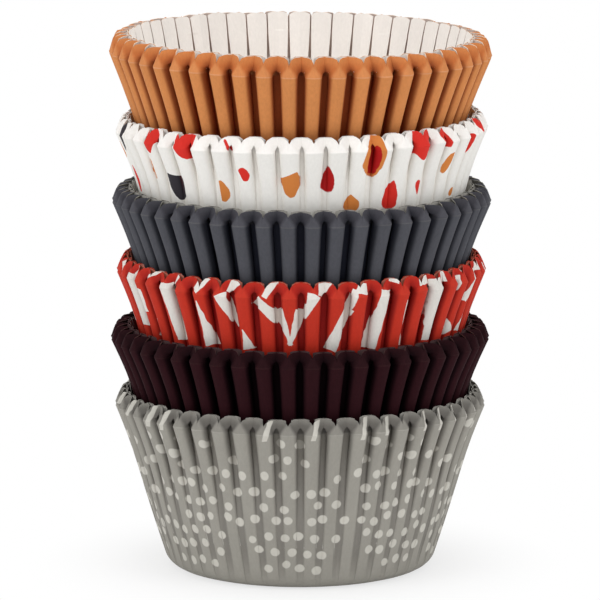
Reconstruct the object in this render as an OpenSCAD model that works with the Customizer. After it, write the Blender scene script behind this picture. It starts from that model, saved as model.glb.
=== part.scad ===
// Six pleated paper baking cups, nested in one upright stack.
// Origin at the middle of the lowest floor's underside, +Z up, the front towards -Y. Millimetres.

/* [Cup] */
// Diameter of the flat floor
floor_d = 47; // [42:0.5:50]
// Width across the crests where the rounded base edge ends and the straight wall begins
heel_d = 52.8; // [50:0.2:56]
// Height at which the straight wall begins
heel_h = 2.4; // [1.6:0.1:4]
// Height of the crests' corners, where each pleat bends back
corner_h = 32.8; // [28:0.2:36]
// Width across the corners of a close liner, one that has kept its pressed shape
close_rim_d = 73.7; // [72:0.1:76]
// Width across the corners of an open liner, one that has sprung out a little
open_rim_d = 75.1; // [72:0.1:77]
// Rise from a crest's corner to the notch above it
notch_rise = 2.8; // [1.5:0.1:4]
// Rise from a notch to the tops of the inner folds beside it
arch_rise = 1; // [0.4:0.1:2]
// How far a crest leans in from its corner to its notch
lean_back = 0.9; // [0.4:0.1:1.4]
// Depth of a close liner's pleats: from the corners in to the throat, the opening inside the folds
close_pleat_depth = 2.55; // [2.2:0.05:3.2]
// The same depth in an open liner
open_pleat_depth = 3.75; // [3.2:0.05:4.4]
// Thickness of the paper
paper = 0.2; // [0.1:0.05:0.3]

/* [Pleats] */
// Number of pleats round a liner
pleats = 50; // [40:2:54]
// Width of a crest at its corner
crest_w = 3.1; // [2.4:0.1:3.4]
// Width of a crest at the bottom of the straight wall
heel_crest_w = 2.2; // [1.6:0.1:2.5]
// Width of a pleat at its root, over both layers of paper
root_w = 0.9; // [0.85:0.05:1.4]

/* [Stack] */
// Play between a liner's crests and the inner folds of the liner that holds it
nest_gap = 0.2; // [0.1:0.05:0.4]
// How far the three uppermost liners ride above their seats
loose_ride = 1; // [0:0.1:1.2]
// Lean of the second liner from the top, in degrees to the right
second_lean = -0.8; // [-1.5:0.1:1.5]
// Lean of the top liner, in degrees to the right
top_lean = 1.3; // [-1.5:0.1:1.5]

/* [Hidden] */

floor_r = floor_d / 2;
heel_r = heel_d / 2;
notch_h = corner_h + notch_rise;
rim_h = notch_h + arch_rise;
pleat_angle = 360 / pleats;

// A liner's radii at its corners and at its throat
close_radii = [close_rim_d / 2, close_rim_d / 2 - close_pleat_depth];
open_radii = [open_rim_d / 2, open_rim_d / 2 - open_pleat_depth];

// Each liner from the bottom up: its radii, its rise above its seat, its lean in the liner below
liner_radii = [close_radii, open_radii, close_radii, open_radii, close_radii, open_radii];
rides = [0, 0, 0, loose_ride, loose_ride, loose_ride];
leans = [0, 0, 0, 0, second_lean, top_lean - second_lean];

// Outward slopes of liner k's crests, from heel to corner, and of its inner folds, from heel to rim
function crestSlope(k) = (liner_radii[k][0] - heel_r) / (corner_h - heel_h);
function foldSlope(throat_r) = (throat_r + paper - heel_r) / (rim_h - heel_h);

// Height in liner k that stands level with the rim below. Its crests meet the throat there, unless the
// liner below is so much wider that the heel meets the folds first.
function seatHeight(k) =
    let (
        throat_r = liner_radii[k - 1][1],
        crest_height = heel_h + (throat_r - nest_gap - heel_r) / crestSlope(k),
        heel_rise = (nest_gap + paper) / foldSlope(throat_r)
    )
    min(crest_height, rim_h - heel_rise);

// A point of one pleat, given by its distances out along the pleat's middle plane and across it
function pleatPoint(i, out, across, z) =
    let (a = (i + 0.5) * pleat_angle - 90)
    [out * cos(a) - across * sin(a), out * sin(a) + across * cos(a), z];

// Across the pleat, a side that leans under its crest looks thicker than the paper
function sideWidth(t, corner_depth) =
    let (undercut = atan((crest_w - root_w) / 2 / corner_depth))
    t * (1 + sin(undercut)) / cos(undercut);

// One face of the paper, t in from the outer one, as four rings: the floor's edge, the heel, the corners
// and the rim. Each pleat has 1, 2, 4 and 3 points on them, and the rings start at these points.
heel_ring = pleats;
corner_ring = 3 * pleats;
rim_ring = 7 * pleats;
face_points = 10 * pleats;
function face(t, rim_r, throat_r) =
    let (
        fold_r = heel_r + foldSlope(throat_r) * (corner_h - heel_h),
        side = sideWidth(t, rim_r - fold_r),
        root = root_w / 2 - side,
        notch_r = rim_r - lean_back,
        vee = atan(root_w / 2 / (notch_r - throat_r - paper)),
        notch_in = t / sin(vee),
        notch_rise_in = arch_rise * notch_in / (notch_r - throat_r)
    )
    concat(
        [for (i = [0 : pleats - 1]) pleatPoint(i, floor_r, 0, t)],
        [for (i = [0 : pleats - 1], s = [-1, 1])
            pleatPoint(i, heel_r - t, s * (heel_crest_w / 2 - side), heel_h)],
        [for (i = [0 : pleats - 1], p = [[-1, root, fold_r], [-1, crest_w / 2 - side, rim_r],
                                         [1, crest_w / 2 - side, rim_r], [1, root, fold_r]])
            pleatPoint(i, p[2] - t, p[0] * p[1], corner_h)],
        [for (i = [0 : pleats - 1], s = [-1, 0, 1])
            s == 0 ? pleatPoint(i, notch_r - notch_in, 0, notch_h + notch_rise_in)
                   : pleatPoint(i, throat_r + paper - t, s * root, rim_h)]
    );

// The triangles of one face, wound for the outer one. A and b are neighbouring pleats.
function faceTriangles() =
    [for (a = [0 : pleats - 1])
        let (
            b = (a + 1) % pleats,
            h = heel_ring + 2 * a, hb = heel_ring + 2 * b,
            c = corner_ring + 4 * a, cb = corner_ring + 4 * b,
            r = rim_ring + 3 * a, rb = rim_ring + 3 * b
        )
        each [
            [a, h, h + 1], [a, h + 1, b], [b, h + 1, hb],
            [h, c + 1, c + 2], [h, c + 2, h + 1],
            [h, c, c + 1], [h + 1, c + 2, c + 3],
            [h + 1, c + 3, cb], [h + 1, cb, hb],
            [c + 1, r + 1, c + 2],
            [c, r, c + 1], [c + 1, r, r + 1],
            [c + 3, c + 2, r + 2], [c + 2, r + 1, r + 2],
            [c + 3, r + 2, rb], [c + 3, rb, cb]
        ]
    ];

// The paper's cut edge round the rim, between the outer face's last ring and the inner face's
function rimTriangles() =
    let (outer = rim_ring, inner = face_points + rim_ring, count = face_points - rim_ring)
    [for (k = [0 : count - 1])
        let (n = (k + 1) % count)
        each [[outer + k, inner + k, inner + n], [outer + k, inner + n, outer + n]]
    ];

module liner(radii) {
    triangles = faceTriangles();
    polyhedron(
        points = concat(face(0, radii[0], radii[1]), face(paper, radii[0], radii[1])),
        faces = concat(
            [[for (i = [0 : pleats - 1]) i]],
            [[for (i = [pleats - 1 : -1 : 0]) face_points + i]],
            triangles,
            [for (f = triangles) [face_points + f[2], face_points + f[1], face_points + f[0]]],
            rimTriangles()
        )
    );
}

// Puts a liner in the throat of the one below. A leaning liner also moves aside, so that its crests
// still meet the throat evenly all round.
module seated(k) {
    if (k == 0)
        children();
    else
        seated(k - 1)
            translate([-sin(leans[k]) * crestSlope(k) * liner_radii[k - 1][1], 0, rim_h + rides[k]])
                rotate([0, leans[k], 0])
                    translate([0, 0, -seatHeight(k)])
                        children();
}

module stackedLiner(k) {
    seated(k) liner(liner_radii[k]);
}

module dotted_liner() { color([0.62, 0.61, 0.59]) stackedLiner(0); }
module plum_liner() { color([0.2, 0.09, 0.12]) stackedLiner(1); }
module striped_liner() { color([0.78, 0.24, 0.16]) stackedLiner(2); }
module slate_liner() { color([0.3, 0.31, 0.34]) stackedLiner(3); }
module speckled_liner() { color([0.93, 0.92, 0.9]) stackedLiner(4); }
module caramel_liner() { color([0.8, 0.51, 0.29]) stackedLiner(5); }

dotted_liner();
plum_liner();
striped_liner();
slate_liner();
speckled_liner();
caramel_liner();
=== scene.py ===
from math import cos, pi, radians, sin, tau
import bpy
import numpy as np
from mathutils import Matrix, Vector


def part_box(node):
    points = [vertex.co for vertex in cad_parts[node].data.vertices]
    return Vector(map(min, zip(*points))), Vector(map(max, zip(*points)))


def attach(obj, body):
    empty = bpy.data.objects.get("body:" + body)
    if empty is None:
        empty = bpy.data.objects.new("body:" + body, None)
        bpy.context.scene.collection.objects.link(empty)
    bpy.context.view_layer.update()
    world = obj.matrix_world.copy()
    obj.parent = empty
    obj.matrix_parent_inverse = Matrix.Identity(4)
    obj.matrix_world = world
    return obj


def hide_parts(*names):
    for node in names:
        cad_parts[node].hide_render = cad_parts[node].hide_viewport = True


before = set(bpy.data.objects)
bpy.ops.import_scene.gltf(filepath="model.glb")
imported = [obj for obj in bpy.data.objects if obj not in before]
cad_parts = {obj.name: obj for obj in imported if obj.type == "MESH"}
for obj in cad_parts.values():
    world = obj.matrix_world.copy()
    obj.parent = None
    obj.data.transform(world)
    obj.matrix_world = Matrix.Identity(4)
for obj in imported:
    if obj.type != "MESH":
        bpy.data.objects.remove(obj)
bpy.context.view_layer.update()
mm = 0.001
print("frame loaded:", sorted(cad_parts))


def addObject(name, data):
    made = bpy.data.objects.new(name, data)
    bpy.context.scene.collection.objects.link(made)
    return made


# The camera, fitted to the photograph: aim, distance and clips in metres, lens and sensor in mm
view = dict(aim=(0, 0, 53.16 * mm), elevation=9.75, distance=1.1, lens=332.2, sensor=36, clips=(0.05, 20))


def placeCamera():
    # the camera stands in front, raised by its elevation, and looks straight at the aim point
    data = bpy.data.cameras.new("photoCamera")
    data.lens, data.sensor_width = view["lens"], view["sensor"]
    data.clip_start, data.clip_end = view["clips"]
    camera = addObject("photoCamera", data)
    tilt = radians(view["elevation"])
    back = Vector((0, -cos(tilt), sin(tilt)))
    camera.location = Vector(view["aim"]) + view["distance"] * back
    camera.rotation_euler = back.to_track_quat("Z", "Y").to_euler()
    bpy.context.scene.camera = camera


placeCamera()
print("camera placed")

# One baking cup, in millimetres, in its own upright frame
cup = dict(
    pleats=50, floorR=22.4, heelR=26.4, heelH=2.4, cornerH=32.8,
    leanBack=0.9,  # how far a crest leans in from its corner to its notch
    edgeR=25.75,  # where the floor's plane meets the line of the wall's foot
    rimH=36.6,  # height of the folds' tops, level with which the next cup is held
    heelCrestW=2.2,  # a crest's width at the heel
    paper=0.14,
    heelRelief=0.12,  # depth of the first traces of the pleats at the heel
    belly=0.45,  # how far the lower half of the wall swells out
    fillPerMm=0.1,  # how much shallower a fill of 1 makes a pleat, for each mm below the rim
    fillMost=1.15,  # and the most that it does
    slip=0.022,  # in radians, how far the pleats half-way to a side have moved towards it
    foldDeep=3,  # depth at which a fold is whole to the shaders
)
closeCup = dict(rimR=36.85, throatR=34.3)
openCup = dict(rimR=37.55, throatR=33.8)

# How unevenly the paper took its pleats: one standard deviation, in mm, or in shares of a width. The
# lobe is the height of a slow wave round the cup, which turns the pleats by a share of itself.
unevenness = dict(turn=0.05, width=0.035, corner=0.09, reach=0.05, notch=0.16, arch=0.1, lobe=0.05)
unevenMost = 0.3
lobeTurn = 0.25

# The rows of a cup's grid: the floor's radii in mm, then shares of the way up its foot, wall and lip
gridRows = dict(floor=[1.5, 8, 15, 20], foot=[0, .22, .42, .6, .76, .9],
                wall=[0, .05, .12, .22, .34, .46, .58, .69, .79, .88, .95, .99, 1.0],
                lip=[.05, .12, .21, .3, .39, .47, .55, .66, .8, .92, 1.0])
pleatColumns = 18  # 8 columns on each side of a crest's middle one, and one in the valley
crestColumn = 8

# Half a pleat on the wall, in eight columns: five on the crest, one on the side that runs in under it,
# one at the fold's root and one on the flat that bows out towards the valley
wallPlan = dict(
    acrossShares=[0.32, 0.6, 0.8, 0.94, 1.0],  # of the crest's half width
    dropShares=[0.05, 0.18, 0.37, 0.62, 1.0],  # of the drop from the crest's middle to its edge
    dropMost=0.75,  # the drop's limit, as a share of the pleat's depth
    softRate=2.2, bowRate=1.5,  # softness and bow are whole at 1 over these, as shares of the height
    looseFrom=0.72, looseOver=0.28,  # pleats differ in reach and corner from the first share of it on
    rootSpare=0.15,  # by how much half a root is wider than half the crest at the heel
    sideAcross=0.12, sideIn=0.6,  # the side's column, as shares of the way from the edge to the root
    flatAcross=0.4, flatBow=0.64,  # the flat's column, as shares of the way to the valley and the bow
    crestOut=0.03, rootOut=0.1,  # how far the crest's middle and the root stand out at the corner
)

# Half a pleat on the lip. The columns are the same, but the third to the sixth move with height: each
# pair is the share of the way from the crease to the mouth, or on to the root, at the corner and above.
lipPlan = dict(
    innerShare=0.533,  # the first column, as a share of the way to the crease
    notchHalf=0.05,  # half the width between the creases at the notch
    spreadBy=0.35,  # share of the lip's height at which the columns have moved
    thirdAcross=(0.5, 0.13), fourthAcross=(0.85, 0.44), sideAcross=(0.12, 0.5),
    thirdIn=(0.18, 0.14), fourthIn=(0.46, 0.5),
    mouthOut=0.2, mouthRate=1.15,  # how far outside the throat the mouth ends, and its path's power
    shutRate=1.5,  # the power by which the mouth closes
    shutPast=0.01,  # how far it closes past the valley's middle
    rootOut=0.06,
    foldOver=0.05, backOver=0.04,  # how far the fold and the columns behind the mouth rise over it
)


def mixed(a, b, t):
    # a where t is 0, b where it is 1, and evenly between
    return a + (b - a) * t


def smoothed(t):
    # t kept from 0 to 1, and eased at both ends
    t = np.clip(t, 0, 1)
    return t * t * (3 - 2 * t)


def swell(form, z):
    # how far the wall stands out at a height: half a wave draws its upper half in by the waist, and a
    # quarter of one swells it by the belly from its middle down to the heel
    down = (cup["cornerH"] - z) / (cup["cornerH"] - cup["heelH"])
    return (cup["belly"] * np.sin(pi * (np.clip(down, 0.5, 1) - 0.5))
            - form["waist"] * np.sin(2 * pi * np.clip(down, 0, 0.5)))


def foldRadius(form, z):
    # The folds run from the relief inside the heel to the throat, a little bowed. The fill makes the
    # pleats shallower, the more the further they are below the rim, and fades out in the lowest third.
    up = (z - cup["heelH"]) / (cup["rimH"] - cup["heelH"])
    relief = cup["heelRelief"]
    line = mixed(cup["heelR"] - relief, form["throatR"] + cup["paper"], up) + relief * up * (1 - up)
    shallow = np.clip(cup["fillPerMm"] * (cup["rimH"] - z), 0, cup["fillMost"] * smoothed(up * 3))
    return line + swell(form, z) + form["fill"] * shallow


def pleatPlaces(form, seed, turns):
    # The crests' angles, the angles of the next ones, the slip of each, and half the angle from each to
    # its neighbours. Even pleats slip towards the sides by the sine of twice their angle, so they are
    # wider in front and behind. Then each turns by its own small length, and three lobes turn them all.
    even = (np.arange(cup["pleats"]) + 0.5) * (tau / cup["pleats"]) - pi / 2
    slip = form.get("twist", 0.0) - cup["slip"] * np.sin(2 * even)
    centre = even + slip + turns / form["rimR"]
    centre = centre + lobeTurn * unevenness["lobe"] / form["rimR"] * np.sin(3 * centre + seed)
    ahead = np.append(centre[1:], centre[0] + tau)
    behind = np.insert(centre[:-1], 0, centre[-1] - tau)
    half = np.stack([(centre - behind) / 2, (ahead - centre) / 2], -1)[None]
    return centre, ahead, slip, half


def asGrids(across, out, height, like):
    # the side columns as one array: across, out and height, by rows, pleats, sides and columns
    return np.stack([np.stack([value + like for value in values], -1) for values in (across, out, height)])


def wallRows(form, uneven, half):
    # The wall from the heel to the corner. Widths change evenly with height, so the crest widens and the
    # root narrows. The crest's edges are rounded by its softness, as far as the pleat's depth allows.
    plan = wallPlan
    q = np.array(gridRows["wall"])[:, None, None]
    like = 0 * q * half
    z = cup["heelH"] + (cup["cornerH"] - cup["heelH"]) * q
    loose = smoothed((q - plan["looseFrom"]) / plan["looseOver"])
    crest = mixed(cup["heelR"], form["rimR"], q) + swell(form, z) + uneven["reach"] * loose
    crestZ = z + uneven["corner"] * loose
    fold = foldRadius(form, z)
    crestHalf = mixed(cup["heelCrestW"], form["crestW"], q) / 2 * (1 + uneven["width"])
    root = mixed(cup["heelCrestW"] / 2 + plan["rootSpare"], form["rootW"][0] / 2, q)
    drop = np.minimum(form["soft"] * smoothed(q * plan["softRate"]), plan["dropMost"] * (crest - fold))
    bulge = form["bow"] * smoothed(q * plan["bowRate"])
    across = [crestHalf * share for share in plan["acrossShares"]]
    across += [mixed(crestHalf, root, plan["sideAcross"]), root,
               mixed(root, np.tan(half) * fold, plan["flatAcross"])]
    out = [crest - drop * share for share in plan["dropShares"]]
    out += [mixed(out[-1], fold, plan["sideIn"]), fold + plan["rootOut"] * q, fold + plan["flatBow"] * bulge]
    height = [crestZ] * len(plan["dropShares"]) + [z + uneven["corner"] * loose / 2, z, z]
    line = like[..., :1]
    return (asGrids(across, out, height, like),
            np.stack([crest + plan["crestOut"] * q + line, crestZ + line, crest + line]),
            np.stack([fold + bulge + line, z + line]))


def lipRows(form, uneven, half):
    # The lip from the corner to the rim. The crest leans back and narrows to a notch between two
    # creases, and the paper beside it closes over the valley in an arch: its mouth shuts at a share of
    # the lip's height. The cut edge follows one curve, in front and behind: it rises from the notch by
    # 1 minus a power of the share of the way that is left to the mouth.
    plan = lipPlan
    t = np.array(gridRows["lip"])[:, None, None]
    like = 0 * t * half
    soft, corner, reach = form["soft"], uneven["corner"], uneven["reach"]
    spread = smoothed(t / plan["spreadBy"])

    def moved(key):
        return mixed(*plan[key], spread)

    crest = form["rimR"] + reach - cup["leanBack"] * t
    crestZ = cup["cornerH"] + corner + (form["notchRise"] + uneven["notch"]) * t
    arch = form["notchRise"] + form["archRise"] + uneven["arch"]
    archZ = cup["cornerH"] + corner * (1 - t) + arch * t
    foldZ = archZ + plan["foldOver"] * t
    fold = foldRadius(form, foldZ)
    mouthEnd = form["throatR"] + cup["paper"] + plan["mouthOut"]
    mouth = mixed(form["rimR"] + reach - soft, mouthEnd, t ** plan["mouthRate"])
    crestHalf = form["crestW"] / 2 * (1 + uneven["width"])
    shut = np.clip(t / form["mouthShut"], 0, 1)
    valleyAcross = np.tan(half) * mouth
    gap = (valleyAcross - crestHalf) * np.sqrt(1 - shut ** plan["shutRate"])
    mouthAcross = valleyAcross - gap + plan["shutPast"] * shut
    crease = wallPlan["acrossShares"][1] * crestHalf * (1 - t) + plan["notchHalf"] * t
    root = mixed(*form["rootW"], t) / 2
    inner, edge = (crest - soft * share * (1 - t) for share in wallPlan["dropShares"][:2])
    across = [plan["innerShare"] * crease, crease, mixed(crease, mouthAcross, moved("thirdAcross")),
              mixed(crease, mouthAcross, moved("fourthAcross")), mouthAcross,
              mixed(mouthAcross, root, moved("sideAcross")), root,
              mixed(root, np.tan(half) * fold, wallPlan["flatAcross"])]
    out = [inner, edge, mixed(edge, mouth, moved("thirdIn")), mixed(edge, mouth, moved("fourthIn")), mouth,
           mixed(mouth, fold, wallPlan["sideIn"]), fold + plan["rootOut"],
           fold + wallPlan["flatBow"] * form["bow"] * (1 - t)]
    lift = [1 - (1 - np.clip(value / mouthAcross, 0, 1)) ** form["archShape"] for value in across]
    height = [mixed(crestZ, archZ, share) + plan["backOver"] * t * (column > 4)
              for column, share in enumerate(lift)]
    line = like[..., :1]
    return (asGrids(across, out, height, like),
            np.stack([crest + line, crestZ + line, crest + line]),
            np.stack([fold[..., 1:] + form["bow"] * (1 - t), foldZ[..., 1:]]))


def roundCup(left, middle, right, valley):
    # each pleat's columns in turn, as rows round the cup: its left side from the valley in to the crest,
    # the crest's middle, its right side out again, and the valley
    return np.concatenate([left[..., ::-1], middle, right, valley], -1).reshape(len(left), -1)


def cupFace(form, seed):
    # Outer face of the paper as a grid of rows, floor to rim, by columns round the cup, in the angle,
    # radius and height of each point. With them come the place round the cup, from 0 to 1, that the
    # point had on an even cup with no slip or twist, and the depth in the fold, from 0 to 1.
    rng = np.random.default_rng(seed)

    def drawn(key):
        # one value for each pleat
        values = rng.normal(0, unevenness[key], cup["pleats"]).clip(-unevenMost, unevenMost)
        return values[None, :, None]

    centre, ahead, slip, half = pleatPlaces(form, seed, drawn("turn").ravel())
    uneven = {key: drawn(key) for key in ["width", "reach", "corner", "notch", "arch"]}
    # two lobes, placed by the seed
    lobes = unevenness["lobe"] * np.sin(2 * centre + 1.7 * seed)
    uneven["reach"] = uneven["reach"] + lobes[None, :, None]
    # an arch is shared by both sides of a valley
    uneven["arch"] = np.concatenate([np.roll(uneven["arch"], 1, 1), uneven["arch"]], -1)
    parts = zip(wallRows(form, uneven, half), lipRows(form, uneven, half))
    sides, crests, valleys = (np.concatenate(pair, 1) for pair in parts)
    (across, out, sideZ), (crestR, crestZ, proud), (valleyR, valleyZ) = sides, crests, valleys

    turn, sideR = np.arctan2(across, out), np.hypot(across, out)
    line = 0 * crestR
    middle = centre[None, :, None] + line
    angle = roundCup(middle - turn[:, :, 0], middle, middle + turn[:, :, 1],
                     ((centre + ahead) / 2)[None, :, None] + line)
    radius = roundCup(sideR[:, :, 0], crestR, sideR[:, :, 1], valleyR)
    height = roundCup(sideZ[:, :, 0], crestZ, sideZ[:, :, 1], valleyZ)
    proud = np.repeat(proud[..., 0], pleatColumns, 1)

    # the floor, and the foot: a curve from the floor's edge to the heel, by way of the point where the
    # floor's plane meets the line of the wall's foot
    b = np.array(gridRows["foot"])[:, None]
    footR = (1 - b) ** 2 * cup["floorR"] + 2 * b * (1 - b) * cup["edgeR"] + b * b * radius[:1]
    footZ = b * b * cup["heelH"] + 0 * radius[:1]
    floorR = np.array(gridRows["floor"])[:, None] + 0 * radius[:1]
    low = np.concatenate([floorR, footR])
    radius, proud = np.concatenate([low, radius]), np.concatenate([low, proud])
    height = np.concatenate([0 * floorR, footZ, height])
    angle = np.concatenate([np.repeat(angle[:1], len(low), 0), angle])

    valleySlip = (slip + np.roll(slip, -1))[:, None] / 2
    slips = np.append(np.repeat(slip[:, None], pleatColumns - 1, 1), valleySlip, 1)
    around = (angle - slips.ravel() + pi / 2) / tau
    print("  paper grid", radius.shape, "reach %.2f mm, top %.2f mm" % (radius.max(), height.max()))
    return angle, radius, height, around, np.clip((proud - radius) / cup["foldDeep"], 0, 1)


def unit(steps):
    # each vector divided by its length
    return steps / (np.linalg.norm(steps, axis=-1, keepdims=True) + 1e-12)


def paperShell(angle, radius, height):
    # The inner face is the outer one moved in by the paper's thickness along its normals. A normal is
    # the cross product of the sum of the unit steps to both neighbours round the cup and the step up
    # the wall.
    face = np.stack([radius * np.cos(angle), radius * np.sin(angle), height], -1)
    after = unit(np.roll(face, -1, 1) - face)
    normal = unit(np.cross(after + np.roll(after, 1, 1), np.gradient(face, axis=0)))
    return face, face - cup["paper"] * normal


sharpAngle = radians(66)  # a bend beyond this isn't shaded as one surface
creaseColumns = list(range(3, 14))


def gridMesh(name, rows, poles, uv, fold, creaseRow, surfaces):
    # Rows of points, closed round the cup, with a single point at each end. Faces point outwards. The
    # paper shades smoothly, but for its tight folds, its cut edge and the crease at the corners.
    rowCount, columns = rows.shape[:2]
    points = np.concatenate([rows.reshape(-1, 3), poles])
    row, column = np.mgrid[0:rowCount - 1, 0:columns]
    after = (column + 1) % columns
    quads = np.stack([row * columns + column, row * columns + after, (row + 1) * columns + after,
                      (row + 1) * columns + column], -1).reshape(-1, 4)
    c = np.arange(columns)
    first, last = rowCount * columns, rowCount * columns + 1
    startFan = np.stack([np.full(columns, first), (c + 1) % columns, c], -1)
    endRow = (rowCount - 1) * columns
    endFan = np.stack([endRow + c, endRow + (c + 1) % columns, np.full(columns, last)], -1)
    mesh = bpy.data.meshes.new(name)
    mesh.from_pydata(points.tolist(), [], quads.tolist() + startFan.tolist() + endFan.tolist())

    # a quad's corners run on past u = 1 where the cup closes, and both fans take one plain value
    u, v = uv
    uEnd = np.concatenate([u, u[:, :1] + 1], 1)
    quadU = np.stack([uEnd[:-1, :-1], uEnd[:-1, 1:], uEnd[1:, 1:], uEnd[1:, :-1]], -1).ravel()
    vNext = np.roll(v, -1, 1)
    quadV = np.stack([v[:-1], vNext[:-1], vNext[1:], v[1:]], -1).ravel()
    fanCorners = startFan.size + endFan.size
    fanU, fanV = np.full(fanCorners, u[:1].mean()), np.full(fanCorners, v[0, 0])
    layer = mesh.uv_layers.new(name="sheet")
    layer.data.foreach_set("uv", np.stack([np.append(quadU, fanU), np.append(quadV, fanV)], -1).ravel())
    mesh.attributes.new("fold", "FLOAT", "POINT").data.foreach_set("value", np.append(fold.ravel(), [0, 0]))

    # the first rows are the outer face, one strip between is the cut edge, the rest is the inner face
    strip = np.repeat(np.arange(rowCount - 1), columns)
    outer = rowCount // 2 - 1
    index = np.select([strip < outer, strip == outer], [0, 1], 2)
    index = np.concatenate([index, np.zeros(columns, int), np.full(columns, 2)])
    mesh.polygons.foreach_set("material_index", index)
    for surface in surfaces:
        mesh.materials.append(surface)

    # the crease is sharp across the crests, on both faces
    mesh.shade_smooth()
    mesh.set_sharp_from_angle(angle=sharpAngle)
    ends = np.empty(2 * len(mesh.edges), int)
    mesh.edges.foreach_get("vertices", ends)
    endRows, endColumns = ends.reshape(-1, 2) // columns, ends.reshape(-1, 2) % columns % pleatColumns
    onCrease = np.isin(endRows, [creaseRow, rowCount - 1 - creaseRow]) & np.isin(endColumns, creaseColumns)
    sharp = np.empty(len(ends) // 2, bool)
    mesh.attributes["sharp_edge"].data.foreach_get("value", sharp)
    mesh.attributes["sharp_edge"].data.foreach_set("value", sharp | onCrease.all(1))
    mesh.validate()
    mesh.update()
    return mesh


# How each cup sits in the one below, from the bottom up: its ride above its seat and its move aside in
# mm, and its lean to the right and nod to the front in degrees. Its form is in mm, but for the fill,
# the arch's power, the mouth's share of the lip's height and the twist in radians. The root's two
# widths are those at the corner and at the rim.
stack = [
    dict(node="dotted_liner", shape=closeCup, ride=0, lean=0, aside=0, seed=3,
         form=dict(waist=0.27, fill=0.8, bow=0.35, soft=1.4, crestW=3.35, rootW=(1.3, 1.3),
                   notchRise=1.65, archRise=1.25, archShape=5, mouthShut=0.42)),
    dict(node="plum_liner", shape=openCup, ride=0, lean=0, aside=0, seed=5,
         form=dict(waist=0.45, fill=0.0, bow=0.3, soft=1.6, crestW=3.35, rootW=(0.9, 0.9),
                   notchRise=2.06, archRise=0.75, archShape=8, mouthShut=0.4)),
    dict(node="striped_liner", shape=dict(closeCup, rimR=36.55), ride=1.0, lean=0, nod=0.3, aside=0.27,
         seed=8,
         form=dict(waist=0.33, fill=0.4, bow=0.3, soft=1.35, crestW=3.35, rootW=(1.1, 1.1),
                   notchRise=1.6, archRise=1.45, archShape=4, mouthShut=0.36)),
    dict(node="slate_liner", shape=openCup, ride=0.68, lean=0, nod=-0.3, aside=0.05, seed=13,
         form=dict(waist=0.25, fill=0.0, bow=0.3, soft=1.6, crestW=3.35, rootW=(0.9, 0.9),
                   notchRise=1.86, archRise=0.9, archShape=8, mouthShut=0.34, twist=-0.008)),
    dict(node="speckled_liner", shape=closeCup, ride=1, lean=-0.6, aside=0.0, seed=21,
         form=dict(waist=0.48, fill=1.0, bow=0.5, soft=1.2, crestW=3.75, rootW=(1.9, 0.6),
                   notchRise=1.8, archRise=1.05, archShape=5, mouthShut=0.42)),
    dict(node="caramel_liner", shape=dict(openCup, rimR=37.7), ride=1.48, lean=1.35, nod=0.55, aside=-0.04,
         seed=34,
         form=dict(waist=0.1, fill=0.0, bow=-0.1, soft=1.5, crestW=3.35, rootW=(0.56, 0.56),
                   notchRise=2.55, archRise=1.1, archShape=8.5, mouthShut=0.3, twist=0.004)),
]
nestGap = 0.2  # play between a cup's crests and the throat that holds it


def stackMatrices():
    # A cup stands so deep in the one below that its crests meet that one's throat, less the play. It
    # leans to the right, and nods to the front, at that height, and moves aside so that the crests
    # still meet the throat evenly, and then by the little that it rides high or sits to one side.
    placed = [np.eye(4)]
    for below, piece in zip(stack, stack[1:]):
        slope = (piece["shape"]["rimR"] - cup["heelR"]) / (cup["cornerH"] - cup["heelH"])
        throat = below["shape"]["throatR"]
        seat = cup["heelH"] + (throat - nestGap - cup["heelR"]) / slope
        a, b = radians(piece["lean"]), radians(piece.get("nod", 0))
        turned = np.array([[cos(a), 0, sin(a), piece["aside"] - sin(a) * slope * throat], [0, 1, 0, 0],
                           [-sin(a), 0, cos(a), cup["rimH"] + piece["ride"]], [0, 0, 0, 1]])
        nodded = np.array([[1, 0, 0, 0], [0, cos(b), -sin(b), sin(b) * slope * throat],
                           [0, sin(b), cos(b), 0], [0, 0, 0, 1]])
        lowered = np.eye(4)
        lowered[2, 3] = -seat
        placed.append(placed[-1] @ turned @ nodded @ lowered)
    return placed


class Field:
    # one value of a shader; arithmetic on it adds Math nodes
    def __init__(self, kit, socket):
        self.kit, self.socket = kit, socket

    def __add__(self, other): return self.kit.maths("ADD", self, other)
    def __radd__(self, other): return self.kit.maths("ADD", other, self)
    def __sub__(self, other): return self.kit.maths("SUBTRACT", self, other)
    def __rsub__(self, other): return self.kit.maths("SUBTRACT", other, self)
    def __mul__(self, other): return self.kit.maths("MULTIPLY", self, other)
    def __rmul__(self, other): return self.kit.maths("MULTIPLY", other, self)
    def __truediv__(self, other): return self.kit.maths("DIVIDE", self, other)
    def __rtruediv__(self, other): return self.kit.maths("DIVIDE", other, self)
    def __pow__(self, other): return self.kit.maths("POWER", self, other)
    def __lt__(self, other): return self.kit.maths("LESS_THAN", self, other)
    def __gt__(self, other): return self.kit.maths("GREATER_THAN", self, other)
    def __mod__(self, other): return self.kit.maths("FLOORED_MODULO", self, other)
    def __abs__(self): return self.kit.maths("ABSOLUTE", self)


def srgb(r, g, b):
    # a colour as a picture states it, 0 to 255, made linear
    c = np.array([r, g, b]) / 255
    return tuple(np.where(c <= 0.04045, c / 12.92, ((c + 0.055) / 1.055) ** 2.4)) + (1.0,)


# A cup's sheet: v is the height as a share of this one, and on the floor it falls below 0, inwards
# from this radius, in mm
sheet = dict(tall=50, floorR=25)


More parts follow.
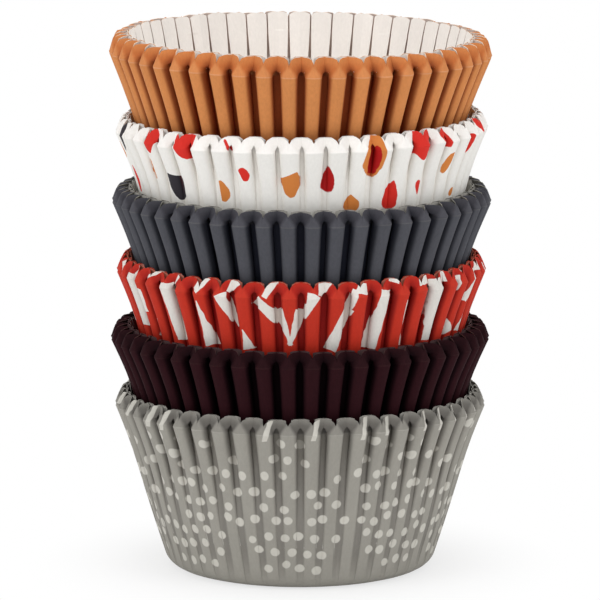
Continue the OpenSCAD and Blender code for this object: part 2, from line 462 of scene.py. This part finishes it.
class PaperKit:
    # makes the nodes of one material's or world's tree
    def __init__(self, tree):
        self.tree = tree
        self.tree.nodes.clear()

    def node(self, kind, settings, sockets):
        # settings are set first; sockets take plain values, fields or outputs
        new = self.tree.nodes.new(kind)
        for key, value in settings.items():
            setattr(new, key, value)
        for key, value in sockets.items():
            if isinstance(value, Field):
                value = value.socket
            if isinstance(value, bpy.types.NodeSocket):
                self.tree.links.new(value, new.inputs[key])
            else:
                new.inputs[key].default_value = value
        return new

    def maths(self, operation, *values):
        made = self.node("ShaderNodeMath", dict(operation=operation), dict(enumerate(values)))
        return Field(self, made.outputs[0])

    def step(self, value, low, high):
        # rises smoothly from 0 at low to 1 at high
        made = self.node("ShaderNodeMapRange", dict(interpolation_type="SMOOTHSTEP"),
                         {"Value": value, "From Min": low, "From Max": high, "To Min": 0.0, "To Max": 1.0})
        return Field(self, made.outputs[0])

    def colour(self, share, a, b, blend="MIX"):
        made = self.node("ShaderNodeMix", dict(data_type="RGBA", blend_type=blend), {0: share, 6: a, 7: b})
        return made.outputs[2]

    def noise(self, scale, detail=2.0, stretch=(1, 1, 1)):
        # stretch divides the pattern's size along x, y and z
        moved = self.node("ShaderNodeMapping", {}, {"Vector": self.place, "Scale": stretch})
        made = self.node("ShaderNodeTexNoise", {},
                         {"Vector": moved.outputs[0], "Scale": scale, "Detail": detail})
        return Field(self, made.outputs[0])

    def begin(self):
        # around is in pleats from the front valley, up to half the cup's pleats either way, and up is
        # the height in mm in the cup's own frame
        self.place = self.node("ShaderNodeTexCoord", {}, {}).outputs["Object"]
        uv = self.node("ShaderNodeUVMap", dict(uv_map="sheet"), {})
        parts = self.node("ShaderNodeSeparateXYZ", {}, {0: uv.outputs[0]})
        count = cup["pleats"]
        self.up = Field(self, parts.outputs[1]) * sheet["tall"]
        self.around = (Field(self, parts.outputs[0]) * count + count / 2) % count - count / 2
        fold = self.node("ShaderNodeAttribute", dict(attribute_name="fold"), {})
        self.fold = Field(self, fold.outputs["Fac"])
        # beside is 0 at the middle of a crest and 1 at the middle of a valley
        self.beside = abs(self.around % 1 - 0.5) * 2
        return self

    def nearSide(self):
        # around, in pleats from the middle of the near side or of the far one, which repeats it
        half = cup["pleats"] / 2
        return (self.around + half / 2) % half - half / 2

    def chance(self, *seeds):
        # three random values from 0 to 1 for each whole-numbered pair of seeds
        cell = self.node("ShaderNodeCombineXYZ", {}, dict(enumerate(seeds))).outputs[0]
        made = self.node("ShaderNodeTexWhiteNoise", dict(noise_dimensions="3D"), {"Vector": cell})
        parts = self.node("ShaderNodeSeparateColor", {}, {0: made.outputs[1]})
        return [Field(self, parts.outputs[i]) for i in range(3)]

    def finish(self, colour, roughness, bumps, specular=0.22):
        # a matte paper surface; each bump is a height field and its depth in mm
        normal = None
        for field, depth in bumps:
            sockets = {"Height": field, "Distance": depth * mm, "Strength": 1.0}
            if normal:
                sockets["Normal"] = normal
            normal = self.node("ShaderNodeBump", {}, sockets).outputs[0]
        sockets = {"Base Color": colour, "Roughness": roughness, "Specular IOR Level": specular,
                   "Normal": normal}
        shader = self.node("ShaderNodeBsdfPrincipled", {}, sockets)
        self.node("ShaderNodeOutputMaterial", {}, {"Surface": shader.outputs[0]})


# Where a pleat's colours change, most of them painted light and shade. Each pair is the start and the
# end of a smooth step, in shares of the fold's depth (deep, sideDeep), of the way from crest to valley
# (side, tip, creaseEnd), or of the lip's height (hood, tipEnd), or in mm of height (foot, onLip, crease).
tones = dict(
    deep=(0.1, 0.7), side=(0.44, 0.8), sideDeep=(0.3, 0.8), foot=(0.5, 8),
    lipTall=2.3, onLip=(-0.3, 0.2), hood=(0.6, 1.6), hoodShare=0.7,
    tip=(0.4, 1.0), tipEnd=(0.35, 1.25),
    tabTaper=0.74, tabEdge=(-0.2, 0.2),  # the tab's half width at the crease, and its edge's softness
    crease=(0.02, 0.2), creaseEnd=(0.4, 0.74),
    # the painted shade in the slits of the inner face
    slit=(0.08, 0.4),  # on the inner face, by the slit's depth
)


def paperBody(kit, look):
    # The crest's colour turns to the valley's, a painted shade (painted light on the speckled cup),
    # with the depth of the fold, by way of a painted shade on the strip's soft sides. Above the corner a
    # tab narrows to the notch between two hoods; tab and hoods take painted light and shade of their own,
    # and the hoods have a painted shade over the valley's tip and clear again at the arch's top. The
    # crease is a thin line in the edge's colour.
    # painted shade deep in the folds, painted light on the speckled cup
    body = kit.colour(kit.step(kit.fold, *tones["deep"]), look["crest"], look["valley"])
    # painted shade on the crest's soft sides, fading out towards the foot
    side = kit.step(kit.beside, *tones["side"]) * (1 - kit.step(kit.fold, *tones["sideDeep"]))
    side = side * kit.step(kit.up, *tones["foot"])
    body = kit.colour(side * look["shadeShare"], body, look["shade"])
    rise = (kit.up - cup["cornerH"]) / tones["lipTall"]
    # the hoods' painted light and shade, turning towards the crest's colour at the arch's top
    hood = kit.colour(kit.step(rise, *tones["hood"]) * tones["hoodShare"], look["lip"], look["crest"])
    # painted shade over the valley's tip
    tip = kit.step(kit.beside, *tones["tip"]) * (1 - kit.step(rise, *tones["tipEnd"]))
    tab = kit.step((1 - rise) * tones["tabTaper"] - kit.beside, *tones["tabEdge"])
    lip = kit.colour(tip * look["shadeShare"], kit.colour(tab, hood, look["tab"]), look["shade"])
    low, high = tones["onLip"]
    body = kit.colour(kit.step(kit.up, cup["cornerH"] + low, cup["cornerH"] + high), body, lip)
    creaseLine = 1 - kit.step(abs(kit.up - cup["cornerH"]), *tones["crease"])
    creaseLine = creaseLine * (1 - kit.step(kit.beside, *tones["creaseEnd"]))
    return kit.colour(creaseLine * look["creaseLine"], body, look["edge"])


# The paper's grain: scales of its noises, shares of the colour and the roughness, and depths in mm
grainForm = dict(cloudScale=190, fibreScale=2400, fibreStretch=(1, 1, 0.5), fibreShare=2.2, fibreDepth=0.02,
                 streakScale=620, streakStretch=(1, 1, 0.05), dentScale=420, dentDepth=0.05,
                 pleatShare=0.06, pleatFoot=(-2, 4), pleatSeed=3.0, roughness=0.74, roughShare=0.16,
                 edgeMottle=0.08, insideMottle=0.05)


def paperGrain(kit, colour, mottle, streak=0.0):
    # multiplies the colour by 1 plus or minus a share, from clouds, fibres, a chance value for each
    # pleat and streaks down the wall, and gives the roughness and the bumps as well
    form = grainForm
    clouds = kit.noise(form["cloudScale"], detail=3.0)
    fibres = kit.noise(form["fibreScale"], detail=3.0, stretch=form["fibreStretch"])
    pleat = kit.chance(kit.maths("FLOOR", kit.around), form["pleatSeed"])[0]
    grain = (clouds - 0.5) * mottle + (fibres - 0.5) * mottle * form["fibreShare"] + 1
    grain = grain + (pleat - 0.5) * form["pleatShare"] * kit.step(kit.up, *form["pleatFoot"])
    if streak:
        streaks = kit.noise(form["streakScale"], stretch=form["streakStretch"])
        grain = grain + (streaks - 0.5) * streak
    grey = kit.node("ShaderNodeCombineColor", {}, {0: grain, 1: grain, 2: grain}).outputs[0]
    roughness = form["roughness"] + (clouds - 0.5) * form["roughShare"]
    bumps = [(kit.noise(form["dentScale"]), form["dentDepth"]), (fibres, form["fibreDepth"])]
    return kit.colour(1.0, colour, grey, "MULTIPLY"), roughness, bumps


def startMaterial(name):
    material = bpy.data.materials.new(name)
    material.use_nodes = True
    return material, PaperKit(material.node_tree)


def startPaper(name):
    # with the places that all papers use
    material, kit = startMaterial(name)
    return material, kit.begin()


def plainPaper(name, look):
    # an outer face of one colour, with its shades and a few streaks
    material, kit = startPaper(name)
    body = paperBody(kit, look)
    kit.finish(*paperGrain(kit, body, look["mottle"], look["streak"]), look["specular"])
    return material


def cutEdge(name, look):
    # the edge of the sheet, in its own colour
    material, kit = startPaper(name)
    kit.finish(*paperGrain(kit, look["edge"], grainForm["edgeMottle"]))
    return material


def innerPaper(name, look):
    # the inner face turns from its colour to a painted shade in the slits, where the pleats open inwards
    material, kit = startPaper(name)
    body = kit.colour(kit.step(kit.fold, *tones["slit"]), look["inside"], look["slit"])
    kit.finish(*paperGrain(kit, body, grainForm["insideMottle"]))
    return material


# Each cup's look. Crest, inside and edge are the paper's own colours; valley, lip, tab, shade and slit
# are painted light and shade on that paper. The last numbers are the share of the painted shade on a
# crest's soft sides and over a valley's tip, the share of the edge's colour along the crease, and the
# mottle, streak and specular of the grain and the finish.
# The caramel cup
caramel = dict(crest=srgb(206, 133, 76), valley=srgb(170, 78, 34), lip=srgb(190, 107, 54),
               tab=srgb(206, 132, 78), shade=srgb(128, 54, 18), inside=srgb(243, 237, 231),
               slit=srgb(236, 220, 211), edge=srgb(236, 206, 180), shadeShare=0.95, creaseLine=0.16,
               mottle=0.12, streak=0.05, specular=0.22)

# The slate cup
slate = dict(crest=srgb(77, 78, 84), valley=srgb(40, 42, 54), lip=srgb(58, 57, 63), tab=srgb(75, 75, 81),
             shade=srgb(32, 33, 40), inside=srgb(176, 173, 166), slit=srgb(120, 118, 114),
             edge=srgb(150, 147, 138), shadeShare=0.9, creaseLine=0.1, mottle=0.16, streak=0.05, specular=0.12)

# The plum cup
plum = dict(crest=srgb(43, 17, 22), valley=srgb(16, 3, 7), lip=srgb(31, 11, 15), tab=srgb(38, 16, 20),
            shade=srgb(15, 4, 8), inside=srgb(76, 54, 55), slit=srgb(52, 34, 36), edge=srgb(80, 56, 54),
            shadeShare=0.9, creaseLine=0.1, mottle=0.24, streak=0.05, specular=0.05)


def printEdge(kit, look):
    # how far a print's edge strays, in mm, by a fine and a coarse noise
    fine, coarse = look["noiseScales"]
    ragged = (kit.noise(fine) - 0.5) * look["ragged"]
    return ragged + (kit.noise(coarse, detail=1.0) - 0.5) * look["uneven"]


# The speckled cup, with paper chips scattered on white
# Its valley, lip and tab are lighter than its crest: painted light in the folds and on the rim
speckled = dict(crest=srgb(238, 236, 231), valley=srgb(246, 242, 236), lip=srgb(244, 241, 237),
                tab=srgb(246, 243, 239), shade=srgb(230, 225, 218), inside=srgb(246, 244, 241),
                slit=srgb(244, 240, 235), edge=srgb(244, 242, 239), shadeShare=0.35, creaseLine=0.0, mottle=0.05,
                red=srgb(212, 44, 34), wine=srgb(172, 14, 14), gold=srgb(208, 126, 60), coal=srgb(48, 44, 50),
                deep=(0.2, 0.7), deepShare=0.45,  # how much a chip turns to wine in the folds, a painted shade
                pitch=4.5,  # a pleat's width in mm
                edgeSoft=0.06, ragged=0.35, uneven=0.7, noiseScales=(900, 330),
                cutRough=0.4)  # share of the edge's straying in a straight cut
uncut = 9  # a chip's cut is this far out where it has none
# Each chip: place round the cup in pleats, height, half width and half height in mm, tilt in degrees,
# taper towards its top, colour, and then a straight cut: the way it faces in degrees, and its distance
# from the middle
chips = [
    (-10.55, 33.2, 1.3, 3.8, 0, 0.0, "coal", 0, 9), (-7.35, 33.7, 1.9, 2.7, 10, 0.1, "red", -35, 1.3),
    (-5.2, 33.6, 2.8, 2.8, 0, -0.2, "red", -15, 1.7), (-3.15, 34.0, 0.45, 1.5, 25, 0.2, "red", 0, 9),
    (-7.75, 27.8, 1.5, 2.1, 0, 0.4, "gold", 0, 0.6), (-6.25, 25.0, 2.3, 3.1, 8, -0.3, "coal", 80, 2.0),
    (-3.65, 24.8, 1.5, 2.2, 0, 0.3, "gold", 180, 0.6), (-2.5, 28.3, 1.15, 1.45, 10, 0.0, "red", 200, 0.75),
    (-0.5, 26.7, 1.9, 3.0, 0, -0.3, "gold", 112, 1.7), (-10.45, 24.3, 0.8, 2.4, 0, 0.3, "red", 0, 9),
    (1.12, 27.3, 1.15, 2.4, 0, 0.5, "wine", 0, 9), (2.25, 22.6, 1.5, 1.9, 0, 0.45, "gold", 50, 1.0),
    (3.1, 32.3, 2.0, 4.6, -6, 0.45, "gold", 0, 9), (3.1, 31.0, 1.2, 2.8, -6, 0.3, "wine", 0, 9),
    (4.15, 23.3, 1.6, 2.9, -4, 0.5, "red", 0, 9), (5.45, 33.3, 2.5, 3.6, 12, -0.35, "red", 170, 2.2),
    (5.65, 24.4, 0.8, 1.4, 15, -0.5, "red", 0, 9), (6.8, 34.2, 1.1, 2.8, 38, 0.0, "red", 0, 9),
    (7.4, 28.7, 0.95, 2.3, -22, -0.2, "gold", 100, 1.6), (9.05, 31.2, 1.2, 2.2, -20, 0.0, "red", 200, 0.9),
    (10.5, 34.4, 1.2, 2.9, 35, 0.0, "red", 0, 9), (8.5, 22.0, 0.9, 0.9, 0, 0.0, "gold", 0, 9),
    (11.9, 27.5, 1.7, 2.0, 0, -0.3, "coal", 60, 0.9), (-11.6, 29.6, 1.2, 1.9, 0, 0.3, "gold", 180, 0.6),
]


def speckledPaper(name, look):
    # A chip is an oval, tilted and tapered: coloured where the sum of the squares of the shares of its
    # half width and half height is under 1, and only as far as its straight cut.
    material, kit = startPaper(name)
    body = paperBody(kit, look)
    across = kit.nearSide()
    rough = printEdge(kit, look)
    # chips turn to wine deep in the folds: painted shade
    deep = kit.step(kit.fold, *look["deep"]) * look["deepShare"]
    for place, high, wide, tall, tilt, taper, tint, cut, reach in chips:
        x = (across - place) * look["pitch"]
        y = kit.up - high
        a, b = radians(tilt), radians(cut)
        along = (y * cos(a) - x * sin(a)) / tall
        beside = (x * cos(a) + y * sin(a)) / ((1 - along * taper) * wide)
        soft = look["edgeSoft"] / wide
        inside = 1 - kit.step((beside * beside + along * along) ** 0.5 + rough / wide, 1 - soft, 1 + soft)
        if reach < uncut:
            inside = inside * ((x * cos(b) + y * sin(b) + rough * look["cutRough"]) < reach)
        body = kit.colour(inside, body, kit.colour(deep, look[tint], look["wine"]))
    kit.finish(*paperGrain(kit, body, look["mottle"]))
    return material


# The striped cup, with white bands on red
striped = dict(crest=srgb(190, 46, 27), valley=srgb(148, 6, 3), lip=srgb(172, 30, 17), tab=srgb(190, 48, 30),
               shade=srgb(128, 8, 4), inside=srgb(214, 128, 108), slit=srgb(168, 84, 66),
               edge=srgb(176, 66, 40), shadeShare=0.85, creaseLine=0.1, mottle=0.09,
               # the second white is the bands' painted shade deep in the folds
               white=srgb(224, 220, 214), whiteShade=srgb(214, 200, 192), deep=(0.12, 0.62),
               pitch=4.4,  # a pleat's width in mm
               edgeSoft=0.06, ragged=0.3, uneven=0.9, noiseScales=(800, 300),
               wider=0.02, longer=0.2)  # added to each band's half width and half length
# Each band: place round the cup in pleats, height in mm, tilt in degrees, half length in mm, and half
# width in mm at its lower and upper ends
bands = [
    (-10.67, 35.3, -58, 2.8, 1.25, 0.2), (-9.35, 28.8, 0, 5.0, 1.3, 1.6), (-8.69, 29.2, 1, 2.1, 1.52, 1.47),
    (-7.95, 24.0, -20, 2.0, 0.2, 0.5), (-8.87, 35.4, -33, 1.7, 0.35, 0.15), (-7.38, 35.2, -58, 2.9, 0.26, 0.56),
    (-6.22, 28.3, 7, 5.6, 1.33, 1.55), (-5.75, 35.4, -36, 1.5, 0.21, 0.62), (-4.46, 34.8, -37, 1.6, 0.70, 0.96),
    (-4.49, 26.9, 9, 4.4, 1.59, 0.15), (-2.91, 35.1, -36, 1.5, 0.39, 0.98), (-3.17, 29.8, 21, 3.4, 0.23, 1.30),
    (-2.51, 24.2, 15, 1.9, 1.25, 0.11), (-1.30, 34.8, -31, 1.8, 0.57, 0.76), (-1.44, 30.4, 48, 2.9, 1.1, 1.05),
    (-0.74, 26.9, 19, 3.6, 0.5, 1.0), (-0.25, 26.9, -19, 3.6, 0.5, 1.0), (0.94, 35.0, -24, 1.6, 0.42, 1.24),
    (0.30, 31.2, -22, 2.5, 0.27, 1.12), (2.05, 31.2, -17, 3.2, 0.75, 0.45), (2.57, 34.5, -8, 0.9, 1.26, 0.78),
    (1.66, 26.3, -22, 4.3, 1.27, 0.90), (3.42, 28.1, -11, 5.8, 1.45, 1.10), (4.15, 36.0, -22, 0.8, 0.90, 1.19),
    (4.84, 26.7, 6, 4.6, 0.46, 0.18), (5.67, 35.3, -2, 1.1, 1.43, 0.86), (6.47, 28.6, 4, 6.1, 1.47, 1.58),
    (6.97, 35.4, 8, 1.4, 0.74, 0.41), (8.45, 36.3, -51, 0.7, 0.91, 0.29), (8.10, 32.6, -4, 1.5, 0.18, 0.75),
    (8.06, 24.9, 24, 2.3, 1.49, 0.14), (9.59, 31.6, -29, 3.2, 0.79, 1.20), (10.56, 35.5, -8, 1.3, 1.98, 0.65),
    (9.60, 24.5, -20, 2.2, 0.90, 0.10), (11.9, 29.5, -12, 4.6, 1.20, 0.90), (-11.9, 26.5, 12, 3.6, 1.20, 0.80),
]


def stripedPaper(name, look):
    # A band is a tapered strip: white where the distance from its middle line is under its half
    # width there, as far as its half length either way.
    material, kit = startPaper(name)
    body = paperBody(kit, look)
    across = kit.nearSide()
    rough = printEdge(kit, look)
    soft = look["edgeSoft"]
    white = 0.0
    for place, high, tilt, length, low, top in bands:
        x = (across - place) * look["pitch"]
        y = kit.up - high
        a = radians(tilt)
        along = y * cos(a) - x * sin(a)
        half = along * ((top - low) / 2 / length) + ((top + low) / 2 + look["wider"])
        inside = kit.step(half - abs(x * cos(a) + y * sin(a)) + rough, -soft, soft)
        inside = inside * (abs(along) + rough < length + look["longer"])
        white = kit.maths("MAXIMUM", white, inside)
    # white bands turn to a painted shade deep in the folds
    tint = kit.colour(kit.step(kit.fold, *look["deep"]), look["white"], look["whiteShade"])
    kit.finish(*paperGrain(kit, kit.colour(white, body, tint), look["mottle"]))
    return material


# The dotted cup, with pale dots on warm grey
dotted = dict(crest=srgb(154, 151, 143), valley=srgb(134, 130, 122), lip=srgb(99, 96, 91),
              tab=srgb(138, 135, 128), shade=srgb(104, 100, 95), inside=srgb(168, 165, 158),
              slit=srgb(130, 126, 120), edge=srgb(186, 183, 174), shadeShare=0.6, creaseLine=0.25,
              mottle=0.07, streak=0.12,
              pleatFoot=3.3, pleatGrows=0.04,  # a pleat's width at the floor, and its growth with height
              # the second dot colour is the dots' painted shade deep in the folds
              dot=srgb(206, 203, 194), dotShade=srgb(172, 168, 159), dotShare=0.88, deep=(0.12, 0.62),
              dotR=0.9, dotSmaller=0.1, dotVaries=0.14,  # half width, and how dots differ from it
              dotSoft=0.12, roughScale=480, rough=0.55,
              round=60,  # places for dots in one row round the cup
              row=3.2,  # height from row to row in mm
              missing=(0.05, 0.25), missingFrom=(12, 30),  # share left out, below and above these heights
              fans=9, fanTurn=0.4,  # fans round the cup, and their turn in pleats
              fanHalf=10.5, fanMiddle=17.3, fanTall=15.2,  # half width, middle and half height in mm
              fanSpread=0.3)  # share by which a fan is wider at its top
# Pale patches on the rim: the place in a pleat of a patch's middle, how far it strays to one side and
# with each mm above a height, its half width's soft step, and its lowest height, which strays as well
patch = dict(share=0.45, seed=11.0, place=0.64, stray=0.16, lean=0.05, leanFrom=34, halfWidth=(0.09, 0.13),
             rough=0.2, low=31.4, lowStray=2.2)


def dottedPaper(name, look):
    # The wall is divided into cells, every other row half a cell on. Each cell may hold one dot at a
    # random place well inside it, and the distance from that place, in mm, makes the dot. Only cells
    # inside a fan hold one, and fewer of them near its top. A fan is where the square of the share of
    # its half width and the fourth power of the share of its half height add up to less than 1.
    material, kit = startPaper(name)
    body = paperBody(kit, look)

    def pleatWidth(up):
        return up * look["pleatGrows"] + look["pleatFoot"]

    row = kit.maths("FLOOR", kit.up / look["row"])
    turn = kit.around * (look["round"] / cup["pleats"]) + (row % 2) * 0.5
    column = kit.maths("FLOOR", turn)
    wide = pleatWidth(kit.up) * (cup["pleats"] / look["round"])
    besideway, upway, lot = kit.chance(column % look["round"], row)
    x = (turn - column - 0.5) * wide - (besideway - 0.5) * 2 * (wide / 2 - look["dotR"])
    middle = (row + 0.5) * look["row"]
    y = kit.up - middle - (upway - 0.5) * (look["row"] - look["dotR"] * 2)
    rough = (kit.noise(look["roughScale"], detail=1.0) - 0.5) * look["rough"]
    size = look["dotR"] - look["dotSmaller"] + lot * look["dotVaries"]
    dot = 1 - kit.step((x * x + y * y) ** 0.5 + rough - size, -look["dotSoft"], look["dotSoft"])
    every = cup["pleats"] / look["fans"]
    cellTurn = (column + 0.5 - (row % 2) * 0.5) * (cup["pleats"] / look["round"])
    fanY = (middle - look["fanMiddle"]) / look["fanTall"]
    fanX = (cellTurn + look["fanTurn"] + every / 2) % every - every / 2
    fanX = fanX * pleatWidth(middle) / (fanY * look["fanSpread"] + 1) / look["fanHalf"]
    dot = dot * ((fanX * fanX + fanY * fanY * fanY * fanY) < 1)
    few, many = look["missing"]
    dot = dot * (lot > kit.step(middle, *look["missingFrom"]) * (many - few) + few)

    # narrow pale patches across the hoods of some arches, down over the crease
    pleat = kit.maths("FLOOR", kit.around)
    some, side, far = kit.chance(pleat, patch["seed"])
    bent = (kit.up - patch["leanFrom"]) * patch["lean"]
    off = abs(kit.around - pleat - patch["place"] - side * patch["stray"] - bent)
    pale = 1 - kit.step(off + rough * patch["rough"], *patch["halfWidth"])
    pale = pale * (some > 1 - patch["share"]) * (kit.up > far * patch["lowStray"] + rough + patch["low"])
    dot = kit.maths("MAXIMUM", dot, pale)
    # dots and patches turn to a painted shade deep in the folds
    tint = kit.colour(kit.step(kit.fold, *look["deep"]), look["dot"], look["dotShade"])
    body = kit.colour(dot * look["dotShare"], body, tint)
    kit.finish(*paperGrain(kit, body, look["mottle"], look["streak"]))
    return material


looks = dict(dotted=dotted, plum=plum, striped=striped, slate=slate, speckled=speckled, caramel=caramel)
printed = dict(dotted=dottedPaper, striped=stripedPaper, speckled=speckledPaper)


def cupSurfaces(name):
    # the outer face, the cut edge and the inner face, as the mesh numbers them
    look = looks[name]
    outerPaper = printed.get(name, plainPaper)
    return [outerPaper(name + "Paper", look), cutEdge(name + "Edge", look), innerPaper(name + "Inside", look)]


def makeCup(piece, placed):
    # The outer face and, back down, the inner one, closed by a point in the middle of each floor. A
    # slit's depth, which sets the painted shade in the slits, is how far the inner face stands outside its
    # innermost point in the same row.
    angle, radius, height, u, fold = cupFace(dict(piece["shape"], **piece["form"]), piece["seed"])
    outer, inner = paperShell(angle, radius, height)
    rows = np.concatenate([outer, inner[::-1]])
    poles = np.array([[0, 0, 0], [0, 0, cup["paper"]]])
    innerR = np.hypot(inner[..., 0], inner[..., 1])
    slit = np.clip((innerR - innerR.min(1, keepdims=True)) / cup["foldDeep"], 0, 1)
    v = (height - np.maximum(0, sheet["floorR"] - radius)) / sheet["tall"]
    uv = np.concatenate([u, u[::-1]]), np.concatenate([v, v[::-1]])
    rows = (rows @ placed[:3, :3].T + placed[:3, 3]) * mm
    poles = (poles @ placed[:3, :3].T + placed[:3, 3]) * mm
    name = piece["node"].replace("_liner", "Cup")
    creaseRow = int(radius[:, crestColumn].argmax())
    surfaces = cupSurfaces(piece["node"].replace("_liner", ""))
    mesh = gridMesh(name, rows, poles, uv, np.concatenate([fold, slit[::-1]]), creaseRow, surfaces)
    cupObject = addObject(name, mesh)
    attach(cupObject, "root")
    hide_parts(piece["node"])
    low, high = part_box(piece["node"])
    corners = np.round(np.array([rows.min((0, 1)), rows.max((0, 1)), low, high]) / mm, 2)
    print(name, "faces", len(mesh.polygons), "visual", *corners[:2], "solid", *corners[2:])


for piece, placed in zip(stack, stackMatrices()):
    makeCup(piece, placed)
print("six cups made")

# The floor, the light and the background, in metres and watts
studio = dict(floorSize=6.0, floorBelow=0.00002, floorColour=(0.93, 0.93, 0.93, 1), worldLight=0.6,
              shadowNear=0.024, shadowFar=0.055, shadowShare=0.3,
              lamps=[dict(name="topLamp", at=(0.0, -0.15, 1.5), size=1.3, power=7.0),
                     dict(name="leftLamp", at=(-1.3, -0.9, 0.9), size=1.0, power=8.0),
                     dict(name="rightLamp", at=(1.3, -0.9, 0.9), size=1.0, power=6.5)])
plainWhite = (1, 1, 1, 1)


def seenDirectly(kit):
    # 1 for the camera, a reflection or a clear material, and 0 for the light that the surface sends on
    path = kit.node("ShaderNodeLightPath", {}, {})
    seen = kit.maths("MAXIMUM", path.outputs["Is Camera Ray"], path.outputs["Is Glossy Ray"])
    return kit.maths("MAXIMUM", seen, path.outputs["Is Transmission Ray"])


def makeFloor():
    # Matte and pale, a hair below the cup. Seen directly, it mixes into plain white away from the
    # stack, by a smooth step on the distance from the middle, and keeps part of the shadow beside it.
    half, low = studio["floorSize"] / 2, -studio["floorBelow"]
    corners = [(-half, -half, low), (half, -half, low), (half, half, low), (-half, half, low)]
    mesh = bpy.data.meshes.new("studioFloor")
    mesh.from_pydata(corners, [], [(0, 1, 2, 3)])
    floor = addObject("studioFloor", mesh)
    material, kit = startMaterial("studioFloor")
    place = kit.node("ShaderNodeTexCoord", {}, {}).outputs["Object"]
    far = kit.node("ShaderNodeVectorMath", dict(operation="LENGTH"), {0: place}).outputs["Value"]
    near = 1 - kit.step(far, studio["shadowNear"], studio["shadowFar"])
    matte = kit.node("ShaderNodeBsdfDiffuse", {}, {"Color": studio["floorColour"]})
    white = kit.node("ShaderNodeEmission", {}, {"Color": plainWhite, "Strength": 1.0})
    share = seenDirectly(kit) * (1 - near * studio["shadowShare"])
    both = kit.node("ShaderNodeMixShader", {}, {0: share, 1: matte.outputs[0], 2: white.outputs[0]})
    kit.node("ShaderNodeOutputMaterial", {}, {"Surface": both.outputs[0]})
    mesh.materials.append(material)


def makeLight():
    # round lamps that face the aim point
    for lamp in studio["lamps"]:
        data = bpy.data.lights.new(lamp["name"], "AREA")
        data.shape, data.size, data.energy = "DISK", lamp["size"], lamp["power"]
        made = addObject(lamp["name"], data)
        made.location = lamp["at"]
        away = Vector(lamp["at"]) - Vector(view["aim"])
        made.rotation_euler = away.to_track_quat("Z", "Y").to_euler()
    # the world lights softly, and is plain white where the camera or a reflection sees it
    world = bpy.data.worlds.new("studioWorld")
    world.use_nodes = True
    kit = PaperKit(world.node_tree)
    glow = kit.node("ShaderNodeBackground", {}, {"Color": plainWhite, "Strength": studio["worldLight"]})
    white = kit.node("ShaderNodeBackground", {}, {"Color": plainWhite, "Strength": 1.0})
    both = kit.node("ShaderNodeMixShader", {}, {0: seenDirectly(kit), 1: glow.outputs[0], 2: white.outputs[0]})
    kit.node("ShaderNodeOutputWorld", {}, {"Surface": both.outputs[0]})
    bpy.context.scene.world = world


makeFloor()
makeLight()
bpy.context.scene.view_settings.view_transform = "Standard"
print("studio ready")
